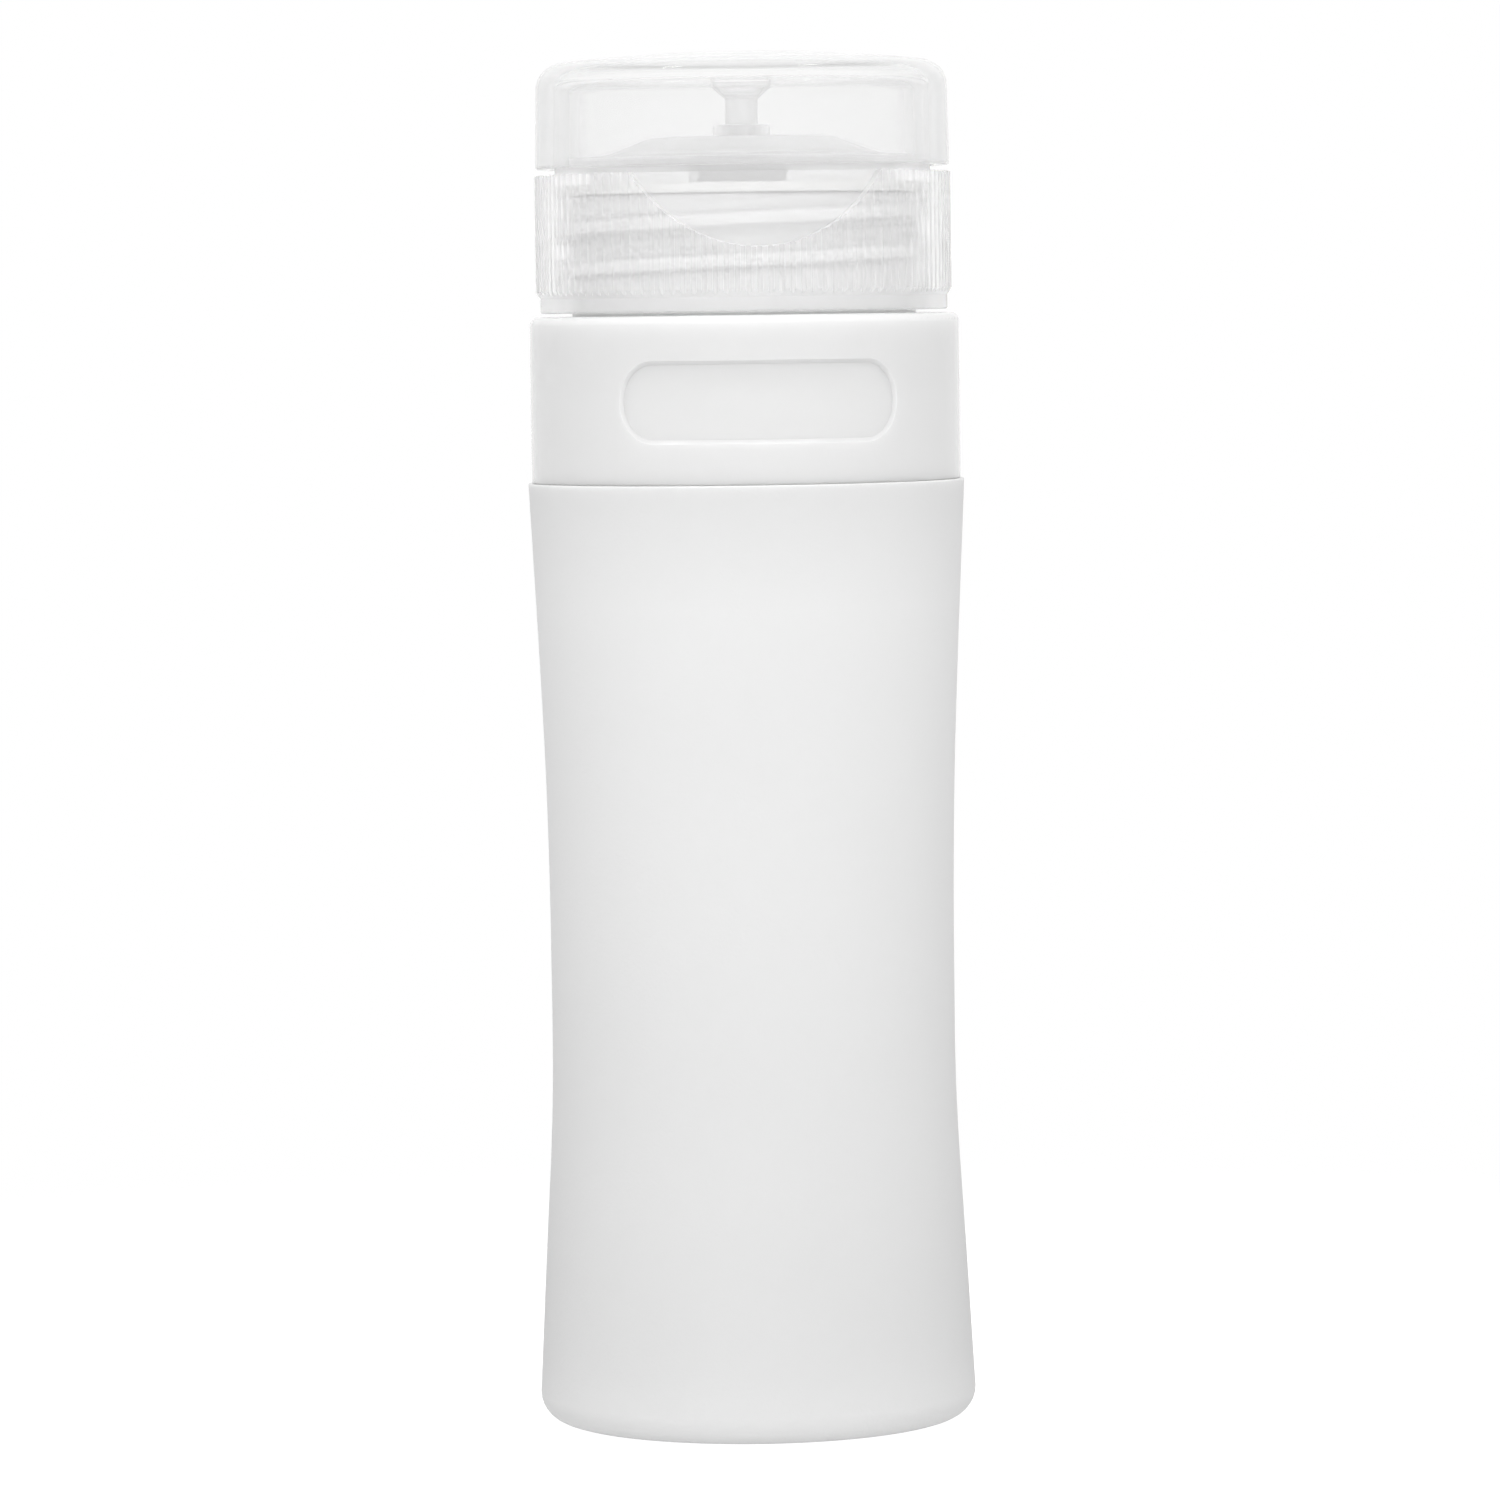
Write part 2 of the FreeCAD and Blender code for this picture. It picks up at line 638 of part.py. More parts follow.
# Hinge strap: a thin strip across the gap, thinned to a film where it bends.
hinge_strap = doc.addObject("PartDesign::Body", "hinge_strap")
strap_section = outline(hinge_strap, "strap_section", (
    ("flat_y", "cap_shoulder - strap_leaf"),
    ("flat_y + strap_thick", "cap_shoulder - strap_leaf"),
    ("flat_y + strap_thick", "cap_shoulder - strap_slope"),
    ("flat_y + strap_film", "cap_shoulder"),
    ("flat_y + strap_film", "lid_rim"),
    ("flat_y + strap_thick", "lid_rim + strap_slope"),
    ("flat_y + strap_thick", "lid_rim + strap_leaf"),
    ("flat_y", "lid_rim + strap_leaf"),
), "YZ_Plane")
strap_pad = hinge_strap.newObject("PartDesign::Pad", "strap_pad")
strap_pad.Profile = strap_section
strap_pad.SideType = "Symmetric"
bind(strap_pad, "Length", "strap_width")
doc.recompute()

NODES = (silicone_bottle, neck_insert, collar_shell, cap_gasket, screw_cap, spout_valve, valve_retainer,
         flip_lid, hinge_strap)
for thing in doc.Objects:
    if "Invalid" in thing.State or "Error" in thing.State:
        raise RuntimeError("%s did not rebuild: %s" % (thing.Label, thing.State))
os.makedirs("parts", exist_ok=True)
for node in NODES:
    if node.Shape.isNull() or not node.Shape.isValid() or len(node.Shape.Solids) != 1:
        raise RuntimeError("%s is not one sound solid" % node.Label)
    node.Shape.exportStep("parts/%s.step" % node.Label)
    print(node.Label, round(node.Shape.Volume), "cubic mm", len(node.Shape.Faces), "faces")
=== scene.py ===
import math

import bmesh
import bpy
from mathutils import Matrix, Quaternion, Vector


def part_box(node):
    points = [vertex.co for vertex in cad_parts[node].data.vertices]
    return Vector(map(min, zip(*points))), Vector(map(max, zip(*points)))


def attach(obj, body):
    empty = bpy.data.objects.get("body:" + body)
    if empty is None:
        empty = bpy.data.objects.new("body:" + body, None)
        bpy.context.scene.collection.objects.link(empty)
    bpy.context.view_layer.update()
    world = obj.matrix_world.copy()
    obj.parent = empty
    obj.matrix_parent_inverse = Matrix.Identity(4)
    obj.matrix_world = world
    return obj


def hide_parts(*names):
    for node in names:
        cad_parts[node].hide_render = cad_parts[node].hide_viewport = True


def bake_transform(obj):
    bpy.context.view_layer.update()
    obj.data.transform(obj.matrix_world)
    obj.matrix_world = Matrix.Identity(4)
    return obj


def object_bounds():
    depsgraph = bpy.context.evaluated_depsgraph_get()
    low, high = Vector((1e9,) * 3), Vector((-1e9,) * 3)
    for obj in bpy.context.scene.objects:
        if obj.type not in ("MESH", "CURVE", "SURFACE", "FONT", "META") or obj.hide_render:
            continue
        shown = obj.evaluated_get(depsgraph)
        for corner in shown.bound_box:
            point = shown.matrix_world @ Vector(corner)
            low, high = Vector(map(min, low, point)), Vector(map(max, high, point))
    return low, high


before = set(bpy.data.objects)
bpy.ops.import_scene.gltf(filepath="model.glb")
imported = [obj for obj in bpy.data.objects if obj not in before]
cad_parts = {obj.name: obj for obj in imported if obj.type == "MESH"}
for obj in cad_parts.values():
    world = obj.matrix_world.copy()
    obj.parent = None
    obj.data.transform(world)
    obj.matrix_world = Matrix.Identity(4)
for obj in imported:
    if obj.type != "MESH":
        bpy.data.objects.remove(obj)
cad_low, cad_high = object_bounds()


# Flask: a soft bottle of frosted silicone, moulded in one with its raised foot, its waist and its neck.
# Its wall is thick enough to stand by itself and soft enough to squeeze; a bead round the neck's rim
# is gripped between the collar and the threaded neck.
MM = 0.001
flask_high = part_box("silicone_bottle")[1]
FOOT_R = flask_high.x + 0.17 * MM
FLASK_RIM = flask_high.z
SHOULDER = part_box("collar_shell")[0].z
FOOT_CORNER = 2.8 * MM
FOOT_RING_R = FOOT_R - 5.68 * MM
FOOT_RISE = 1.5 * MM
FOOT_RING_CORNER = 0.5 * MM
FLOOR_THICK = 2.6 * MM
FLOOR_CORNER = 2.5 * MM
WAIST_R = FOOT_R - 1.76 * MM
WAIST_FOOT = 30.7 * MM
WAIST_TOP = 58.3 * MM
LOWER_BLEND = 7 * MM
UPPER_BLEND = 10 * MM
LIP_R = FOOT_R - 0.26 * MM
LIP_CORNER = 0.1 * MM
FLASK_WALL = 2.3 * MM
SHOULDER_THICK = 2.2 * MM
FLASK_NECK_R = LIP_R - 2.72 * MM
FLASK_NECK_WALL = 1.85 * MM
BEAD_RISE = 0.7 * MM
BEAD_HEIGHT = 2.4 * MM
BEAD_CORNER = 0.5 * MM
FLASK_SWAY = 0.05 * MM
SWAY_TWIST = 9 * MM
SWAY_LENGTH = 17 * MM
# Painted shade under the collar: how far down it reaches and how dark it is at the shoulder.
SHOULDER_SHADE_REACH = 12 * MM
PAINTED_SHOULDER_SHADE = 0.92
WALL_RINGS = 64
FLASK_STEPS = 144
CORNER_STEPS = 8


def corner(centre, radius, start, end, steps=CORNER_STEPS):
    """Points of a round corner in (radius, height) about a centre, from one angle to another in degrees."""
    turn = [math.radians(start + (end - start) * k / steps) for k in range(steps + 1)]
    return [(centre[0] + radius * math.cos(t), centre[1] + radius * math.sin(t)) for t in turn]


def turned_mesh(name, section, steps, sway=0.0):
    """A piece turned about Z from a closed section of (radius, height) points, given anticlockwise."""
    form = bmesh.new()
    rings = []
    for radius, height in section:
        if radius == 0:
            rings.append([form.verts.new((0, 0, height))] * steps)
            continue
        ring = []
        for k in range(steps):
            turn = 2 * math.pi * k / steps
            wave = math.sin(2 * turn + height / SWAY_TWIST) * math.sin(height / SWAY_LENGTH)
            swayed = radius + sway * wave
            ring.append(form.verts.new((swayed * math.cos(turn), swayed * math.sin(turn), height)))
        rings.append(ring)
    for here, there in zip(rings, rings[1:] + rings[:1]):
        for k in range(steps):
            nearby = (k + 1) % steps
            around = list(dict.fromkeys((here[k], here[nearby], there[nearby], there[k])))
            if len(around) > 2:
                form.faces.new(around).smooth = True
    bmesh.ops.recalc_face_normals(form, faces=form.faces)
    mesh = bpy.data.meshes.new(name)
    form.to_mesh(mesh)
    form.free()
    piece = bpy.data.objects.new(name, mesh)
    bpy.context.collection.objects.link(piece)
    return piece


def ramp(run, blend):
    """A ramp that leaves zero softly: nothing before -blend, the run itself after +blend."""
    if run < -blend:
        return 0.0
    return run if run > blend else (run + blend) ** 2 / (4 * blend)


def flask_radius(height):
    """The flask's outer radius: a straight waist that flares to the foot and to the shoulder."""
    lower = (FOOT_R - WAIST_R) / WAIST_FOOT * ramp(WAIST_FOOT - height, LOWER_BLEND)
    upper = (LIP_R - WAIST_R) / (SHOULDER - WAIST_TOP) * ramp(height - WAIST_TOP, UPPER_BLEND)
    return WAIST_R + lower + upper


def flask_section():
    """The flask's section, from the middle of its underside round over the neck's rim to its inner floor."""
    floor = FOOT_RISE + FLOOR_THICK
    low = FOOT_CORNER
    high = SHOULDER - LIP_CORNER
    wall = [low + (high - low) * k / WALL_RINGS for k in range(1, WALL_RINGS)]
    foot_centre = (flask_radius(low) - FOOT_CORNER, FOOT_CORNER)
    lip_centre = (flask_radius(high) - LIP_CORNER, high)
    bead_r = FLASK_NECK_R + BEAD_RISE
    bead_low = FLASK_RIM - BEAD_HEIGHT + BEAD_CORNER
    bore_r = FLASK_NECK_R - FLASK_NECK_WALL
    inner = [h for h in reversed(wall) if floor + FLOOR_CORNER < h < SHOULDER - 2 * SHOULDER_THICK]
    floor_centre = (flask_radius(inner[-1]) - FLASK_WALL - FLOOR_CORNER, floor + FLOOR_CORNER)
    ring_centre = (FOOT_RING_R + FOOT_RING_CORNER, FOOT_RING_CORNER)
    section = [(0, FOOT_RISE), (FOOT_RING_R - FOOT_RISE, FOOT_RISE)]
    section += corner(ring_centre, FOOT_RING_CORNER, 225, 270)
    section += corner(foot_centre, FOOT_CORNER, -90, 0)
    section += [(flask_radius(h), h) for h in wall]
    section += corner(lip_centre, LIP_CORNER, 0, 90)
    section += [(FLASK_NECK_R, SHOULDER), (FLASK_NECK_R, bead_low - BEAD_CORNER)]
    section += corner((bead_r - BEAD_CORNER, bead_low), BEAD_CORNER, -90, 0)
    section += corner((bead_r - BEAD_CORNER, FLASK_RIM - BEAD_CORNER), BEAD_CORNER, 0, 90)
    section += corner((bore_r + BEAD_CORNER, FLASK_RIM - BEAD_CORNER), BEAD_CORNER, 90, 180)
    section += [(bore_r, SHOULDER - SHOULDER_THICK)]
    section += [(flask_radius(h) - FLASK_WALL, h) for h in inner]
    section += corner(floor_centre, FLOOR_CORNER, 0, -90)
    section += [(0, floor)]
    return section


def moulded_finish():
    """Cloudy tint, fine grain and uneven polish of a moulded surface, the same for every material."""
    group = bpy.data.node_groups.new("moulded_finish", "ShaderNodeTree")
    wanted = (
        ("Tint", "NodeSocketColor", "INPUT"), ("Cloud Tint", "NodeSocketColor", "INPUT"),
        ("Cloud Scale", "NodeSocketFloat", "INPUT"), ("Grain Scale", "NodeSocketFloat", "INPUT"),
        ("Polished", "NodeSocketFloat", "INPUT"), ("Dull", "NodeSocketFloat", "INPUT"),
        ("Colour", "NodeSocketColor", "OUTPUT"), ("Roughness", "NodeSocketFloat", "OUTPUT"),
        ("Grain", "NodeSocketFloat", "OUTPUT"),
    )
    for name, kind, way in wanted:
        group.interface.new_socket(name, in_out=way, socket_type=kind)
    nodes, links = group.nodes, group.links
    given = nodes.new("NodeGroupInput")
    made = nodes.new("NodeGroupOutput")
    place = nodes.new("ShaderNodeTexCoord")
    cloud = nodes.new("ShaderNodeTexNoise")
    grain = nodes.new("ShaderNodeTexNoise")
    cloud.inputs["Detail"].default_value = 3
    grain.inputs["Detail"].default_value = 4
    links.new(place.outputs["Object"], cloud.inputs["Vector"])
    links.new(place.outputs["Object"], grain.inputs["Vector"])
    links.new(given.outputs["Cloud Scale"], cloud.inputs["Scale"])
    links.new(given.outputs["Grain Scale"], grain.inputs["Scale"])
    blend = nodes.new("ShaderNodeMix")
    blend.data_type = "RGBA"
    links.new(cloud.outputs["Fac"], blend.inputs["Factor"])
    links.new(given.outputs["Tint"], blend.inputs["A"])
    links.new(given.outputs["Cloud Tint"], blend.inputs["B"])
    polish = nodes.new("ShaderNodeMapRange")
    links.new(grain.outputs["Fac"], polish.inputs["Value"])
    links.new(given.outputs["Polished"], polish.inputs["To Min"])
    links.new(given.outputs["Dull"], polish.inputs["To Max"])
    links.new(blend.outputs["Result"], made.inputs["Colour"])
    links.new(polish.outputs["Result"], made.inputs["Roughness"])
    links.new(grain.outputs["Fac"], made.inputs["Grain"])
    return group


FINISH = moulded_finish()


def moulded(name, tint, cloud_tint, cloud_scale, grain_scale, polished, dull, relief):
    """A material with the moulded finish on its colour, polish and grain; returns it and its shader."""
    material = bpy.data.materials.new(name)
    material.use_nodes = True
    nodes, links = material.node_tree.nodes, material.node_tree.links
    shader = nodes["Principled BSDF"]
    finish = nodes.new("ShaderNodeGroup")
    finish.node_tree = FINISH
    finish.inputs["Tint"].default_value = (*tint, 1)
    finish.inputs["Cloud Tint"].default_value = (*cloud_tint, 1)
    finish.inputs["Cloud Scale"].default_value = cloud_scale
    finish.inputs["Grain Scale"].default_value = grain_scale
    finish.inputs["Polished"].default_value = polished
    finish.inputs["Dull"].default_value = dull
    bump = nodes.new("ShaderNodeBump")
    bump.inputs["Distance"].default_value = relief
    links.new(finish.outputs["Grain"], bump.inputs["Height"])
    links.new(finish.outputs["Colour"], shader.inputs["Base Color"])
    links.new(finish.outputs["Roughness"], shader.inputs["Roughness"])
    links.new(bump.outputs["Normal"], shader.inputs["Normal"])
    return material, shader


frosted_silicone, shader = moulded(
    "frosted_silicone", tint=(0.74, 0.74, 0.74), cloud_tint=(0.715, 0.715, 0.715), cloud_scale=45,
    grain_scale=2600, polished=0.5, dull=0.68, relief=0.02 * MM)
shader.inputs["Subsurface Weight"].default_value = 1.0
shader.inputs["Subsurface Radius"].default_value = (1.0, 1.0, 1.0)
shader.inputs["Subsurface Scale"].default_value = 1.5 * MM
shader.inputs["IOR"].default_value = 1.41
shader.inputs["Specular IOR Level"].default_value = 0.06

# Painted shade: the silicone's colour is darkened towards the shoulder, under the collar.
nodes, links = frosted_silicone.node_tree.nodes, frosted_silicone.node_tree.links
place = nodes.new("ShaderNodeTexCoord")
along = nodes.new("ShaderNodeSeparateXYZ")
painted_shade_ramp = nodes.new("ShaderNodeMapRange")
painted_shade_ramp.inputs["From Min"].default_value = SHOULDER - SHOULDER_SHADE_REACH
painted_shade_ramp.inputs["From Max"].default_value = SHOULDER
painted_shade_ramp.inputs["To Min"].default_value = 1.0
painted_shade_ramp.inputs["To Max"].default_value = PAINTED_SHOULDER_SHADE
painted_shade = nodes.new("ShaderNodeMix")
painted_shade.data_type = "RGBA"
painted_shade.blend_type = "MULTIPLY"
painted_shade.inputs["Factor"].default_value = 1.0
links.new(place.outputs["Object"], along.inputs["Vector"])
links.new(along.outputs["Z"], painted_shade_ramp.inputs["Value"])
links.new(shader.inputs["Base Color"].links[0].from_socket, painted_shade.inputs["A"])
links.new(painted_shade_ramp.outputs["Result"], painted_shade.inputs["B"])
links.new(painted_shade.outputs["Result"], shader.inputs["Base Color"])

flask = turned_mesh("flask", flask_section(), FLASK_STEPS, FLASK_SWAY)
flask.data.materials.append(frosted_silicone)
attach(flask, "bottle")
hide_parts("silicone_bottle")


# Threaded neck: a rigid moulding of natural plastic, pushed into the flask's neck, with a flange over
# its bead and two turns of thread for the cap. Its thread shows through the cap's skirt.
natural_plastic, shader = moulded(
    "natural_plastic", tint=(0.71, 0.71, 0.71), cloud_tint=(0.695, 0.695, 0.695), cloud_scale=90,
    grain_scale=1800, polished=0.25, dull=0.36, relief=0.008 * MM)
shader.inputs["Subsurface Weight"].default_value = 1.0
shader.inputs["Subsurface Radius"].default_value = (1.0, 1.0, 1.0)
shader.inputs["Subsurface Scale"].default_value = 1.5 * MM
shader.inputs["IOR"].default_value = 1.1
shader.inputs["Coat Weight"].default_value = 0.6
shader.inputs["Coat Roughness"].default_value = 0.08


def dress(node, material):
    """Gives a carried CAD piece its material."""
    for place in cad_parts[node].material_slots:
        place.material = material


dress("neck_insert", natural_plastic)


# Collar: a ring of glossy white plastic that clamps the flask's neck onto the threaded neck. A pill
# shaped recess for a label runs round its front; it is bare here.
white_plastic, shader = moulded(
    "white_plastic", tint=(0.69, 0.69, 0.69), cloud_tint=(0.675, 0.675, 0.675), cloud_scale=60,
    grain_scale=900, polished=0.12, dull=0.2, relief=0.004 * MM)
shader.inputs["Subsurface Weight"].default_value = 1.0
shader.inputs["Subsurface Radius"].default_value = (1.0, 1.0, 1.0)
shader.inputs["Subsurface Scale"].default_value = 3 * MM
shader.inputs["IOR"].default_value = 1.45
shader.inputs["Coat Weight"].default_value = 0.4
shader.inputs["Coat Roughness"].default_value = 0.08
dress("collar_shell", white_plastic)


# Gasket: a flat washer of white silicone between the neck's rim and the cap, with rounded edges. It rises
# with the cap and doesn't turn with it.
gasket_low, gasket_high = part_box("cap_gasket")
GASKET_BORE_R = gasket_high.x - 2.1 * MM
GASKET_CORNER = 0.3 * MM
GASKET_STEPS = 96
white_silicone, shader = moulded(
    "white_silicone", tint=(0.78, 0.78, 0.77), cloud_tint=(0.74, 0.74, 0.73), cloud_scale=120,
    grain_scale=2200, polished=0.45, dull=0.62, relief=0.01 * MM)
shader.inputs["Subsurface Weight"].default_value = 0.6
shader.inputs["Subsurface Radius"].default_value = (1.0, 1.0, 1.0)
shader.inputs["Subsurface Scale"].default_value = 0.8 * MM
shader.inputs["IOR"].default_value = 1.41


def washer_section(bore_r, outer_r, low, high, radius):
    """A flat ring's section with its four edges rounded."""
    section = corner((outer_r - radius, low + radius), radius, -90, 0)
    section += corner((outer_r - radius, high - radius), radius, 0, 90)
    section += corner((bore_r + radius, high - radius), radius, 90, 180)
    section += corner((bore_r + radius, low + radius), radius, 180, 270)
    return section


gasket = turned_mesh(
    "gasket", washer_section(GASKET_BORE_R, gasket_high.x, gasket_low.z, gasket_high.z, GASKET_CORNER),
    GASKET_STEPS)
gasket.data.materials.append(white_silicone)
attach(gasket, "cap_seal")
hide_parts("cap_gasket")


# Screw cap: one moulding of milky plastic with a ribbed skirt, a thread inside, the deck with the spout
# and a thumb scoop in front. It is thin enough for the neck's thread to show through.
CLEAR_SLANT = 0.4
EVEN_BLEND = 0.5
milky_plastic, shader = moulded(
    "milky_plastic", tint=(0.985, 0.985, 0.985), cloud_tint=(0.97, 0.97, 0.97), cloud_scale=80,
    grain_scale=1500, polished=0.16, dull=0.24, relief=0.006 * MM)
shader.inputs["Subsurface Weight"].default_value = 1.0
shader.inputs["Subsurface Radius"].default_value = (1.0, 1.0, 1.0)
shader.inputs["Subsurface Scale"].default_value = 0.6 * MM
shader.inputs["Transmission Weight"].default_value = 0.4
shader.inputs["IOR"].default_value = 1.06
shader.inputs["Coat Weight"].default_value = 0.3
shader.inputs["Coat Roughness"].default_value = 0.1


def thicken_edges(material, faced, edge_on, full_slant):
    """Makes a see-through plastic denser where it is seen edge on, as a wall of glass is."""
    nodes, links = material.node_tree.nodes, material.node_tree.links
    slant = nodes.new("ShaderNodeLayerWeight")
    slant.inputs["Blend"].default_value = EVEN_BLEND
    density = nodes.new("ShaderNodeMapRange")
    density.inputs["From Min"].default_value = CLEAR_SLANT
    density.inputs["From Max"].default_value = full_slant
    density.inputs["To Min"].default_value = faced
    density.inputs["To Max"].default_value = edge_on
    links.new(slant.outputs["Facing"], density.inputs["Value"])
    links.new(density.outputs["Result"], nodes["Principled BSDF"].inputs["Alpha"])
    return density.outputs["Result"]


thicken_edges(milky_plastic, faced=0.36, edge_on=0.72, full_slant=1.0)
dress("screw_cap", milky_plastic)


# Slit valve: a small flanged bowl of white silicone under the spout. Its skin is slit crosswise into
# four flaps, which open when the flask is squeezed and shut by themselves.
valve_low, valve_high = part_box("spout_valve")
VALVE_R = valve_high.x
VALVE_FLANGE = 1 * MM
VALVE_BOWL_R = VALVE_R - 1.25 * MM
VALVE_SKIN = 0.5 * MM
VALVE_CORNER = 0.2 * MM
SLIT_REACH = 1.4 * MM
SLIT_WIDTH = 0.12 * MM
FLAP_RINGS = 7
FLAP_STEPS = 12
WELD_REACH = 0.001 * MM


def valve_section():
    """The flange's section, from the bowl's underside round to its upper side."""
    seat = valve_high.z - VALVE_FLANGE
    section = [(VALVE_BOWL_R, seat)]
    section += corner((VALVE_R - VALVE_CORNER, seat + VALVE_CORNER), VALVE_CORNER, -90, 0)
    section += corner((VALVE_R - VALVE_CORNER, valve_high.z - VALVE_CORNER), VALVE_CORNER, 0, 90)
    section += [(VALVE_BOWL_R, valve_high.z), (VALVE_BOWL_R, seat + VALVE_SKIN)]
    return section


def valve_flap(form, start):
    """One quarter of the bowl's skin with its two slit walls, from a start angle in degrees."""
    seat = valve_high.z - VALVE_FLANGE
    dish = seat - valve_low.z
    tip = SLIT_WIDTH / math.sqrt(2)
    radii = [tip + (SLIT_REACH - tip) * k / FLAP_RINGS for k in range(FLAP_RINGS + 1)]
    radii += [SLIT_REACH + SLIT_WIDTH, (SLIT_REACH + VALVE_BOWL_R) / 2, VALVE_BOWL_R]
    skins = []
    for lift in (0.0, VALVE_SKIN):
        rows = []
        for radius in radii:
            spare = math.asin(SLIT_WIDTH / 2 / radius) if radius <= SLIT_REACH else 0.0
            height = seat + lift - dish * (1 - (radius / VALVE_BOWL_R) ** 2)
            row = []
            for k in range(FLAP_STEPS + 1):
                turn = math.radians(start) + spare + (math.pi / 2 - 2 * spare) * k / FLAP_STEPS
                row.append(form.verts.new((radius * math.cos(turn), radius * math.sin(turn), height)))
            rows.append(row)
        skins.append(rows)
    for rows in skins:
        for here, there in zip(rows, rows[1:]):
            for k in range(FLAP_STEPS):
                form.faces.new((here[k], here[k + 1], there[k + 1], there[k])).smooth = True
    under, upper = skins
    for side in (0, FLAP_STEPS):
        for k in range(FLAP_RINGS + 1):
            form.faces.new((under[k][side], under[k + 1][side], upper[k + 1][side], upper[k][side]))


def valve_mesh():
    """The flange turned about Z and the four flaps of its bowl, welded into one skin."""
    form = bmesh.new()
    steps = 4 * FLAP_STEPS
    rings = []
    for radius, height in valve_section():
        turns = [2 * math.pi * k / steps for k in range(steps)]
        rings.append([form.verts.new((radius * math.cos(t), radius * math.sin(t), height)) for t in turns])
    for here, there in zip(rings, rings[1:]):
        for k in range(steps):
            nearby = (k + 1) % steps
            form.faces.new((here[k], here[nearby], there[nearby], there[k])).smooth = True
    for start in (0, 90, 180, 270):
        valve_flap(form, start)
    bmesh.ops.remove_doubles(form, verts=form.verts, dist=WELD_REACH)
    bmesh.ops.recalc_face_normals(form, faces=form.faces)
    mesh = bpy.data.meshes.new("slit_valve")
    form.to_mesh(mesh)
    form.free()
    return mesh


valve = bpy.data.objects.new("slit_valve", valve_mesh())
bpy.context.collection.objects.link(valve)
valve.data.materials.append(white_silicone)
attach(valve, "cap")
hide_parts("spout_valve")


# Valve retainer: a short sleeve of natural plastic. It is pressed over the boss under the deck and holds
# the valve's flange up. Its plastic is painted much paler than the neck's, as painted light in the dim
# hollow under the deck.
painted_paler_natural_plastic, shader = moulded(
    "painted_paler_natural_plastic", tint=(0.985, 0.985, 0.985), cloud_tint=(0.97, 0.97, 0.97), cloud_scale=90,
    grain_scale=1800, polished=0.25, dull=0.36, relief=0.008 * MM)
shader.inputs["Subsurface Weight"].default_value = 1.0
shader.inputs["Subsurface Radius"].default_value = (1.0, 1.0, 1.0)
shader.inputs["Subsurface Scale"].default_value = 1.5 * MM
dress("valve_retainer", painted_paler_natural_plastic)


# Flip lid: a shallow crowned cup of clear plastic whose middle pin plugs the spout. The solid pin is
# milkier than the thin walls.
PIN_DENSE_R = 1.7 * MM
PIN_CLEAR_R = 3.2 * MM
PIN_DENSITY = 0.8
clear_plastic, shader = moulded(
    "clear_plastic", tint=(0.86, 0.86, 0.86), cloud_tint=(0.845, 0.845, 0.845), cloud_scale=70,
    grain_scale=700, polished=0.06, dull=0.12, relief=0.002 * MM)
shader.inputs["Transmission Weight"].default_value = 0.5
shader.inputs["IOR"].default_value = 1.06
shader.inputs["Coat Weight"].default_value = 0.5
shader.inputs["Coat Roughness"].default_value = 0.06
wall_density = thicken_edges(clear_plastic, faced=0.32, edge_on=0.92, full_slant=0.8)
nodes, links = clear_plastic.node_tree.nodes, clear_plastic.node_tree.links
place = nodes.new("ShaderNodeTexCoord")
across = nodes.new("ShaderNodeVectorMath")
across.operation = "MULTIPLY"
across.inputs[1].default_value = (1, 1, 0)
off_axis = nodes.new("ShaderNodeVectorMath")
off_axis.operation = "LENGTH"
pin_density = nodes.new("ShaderNodeMapRange")
pin_density.inputs["From Min"].default_value = PIN_DENSE_R
pin_density.inputs["From Max"].default_value = PIN_CLEAR_R
pin_density.inputs["To Min"].default_value = PIN_DENSITY
pin_density.inputs["To Max"].default_value = 0.0
denser = nodes.new("ShaderNodeMath")
denser.operation = "MAXIMUM"
links.new(place.outputs["Object"], across.inputs[0])
links.new(across.outputs["Vector"], off_axis.inputs[0])
links.new(off_axis.outputs["Value"], pin_density.inputs["Value"])
links.new(wall_density, denser.inputs[0])
links.new(pin_density.outputs["Result"], denser.inputs[1])
links.new(denser.outputs["Value"], shader.inputs["Alpha"])
dress("flip_lid", clear_plastic)


# Hinge strap: a thin strip of the lid's clear plastic at the back, moulded in one with the cap and the
# lid and thinned to a film in the gap between them, where it bends.
strap_low, strap_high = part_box("hinge_strap")
STRAP_LEAF = 1.8 * MM
CAP_SHOULDER = strap_low.z + STRAP_LEAF
LID_RIM = strap_high.z - STRAP_LEAF
STRAP_FILM = 0.25 * MM
STRAP_SLOPE = 0.2 * MM
STRAP_ROWS = 40
STRAP_SIDE = 0.12 * MM


def strap_back(height):
    """How far back the strap reaches at a height: a film in the gap, thicker leaves above and below."""
    clear = max(CAP_SHOULDER - height, height - LID_RIM, 0.0)
    share = min(clear / STRAP_SLOPE, 1.0)
    thick = strap_high.y - strap_low.y
    return strap_low.y + STRAP_FILM + (thick - STRAP_FILM) * share


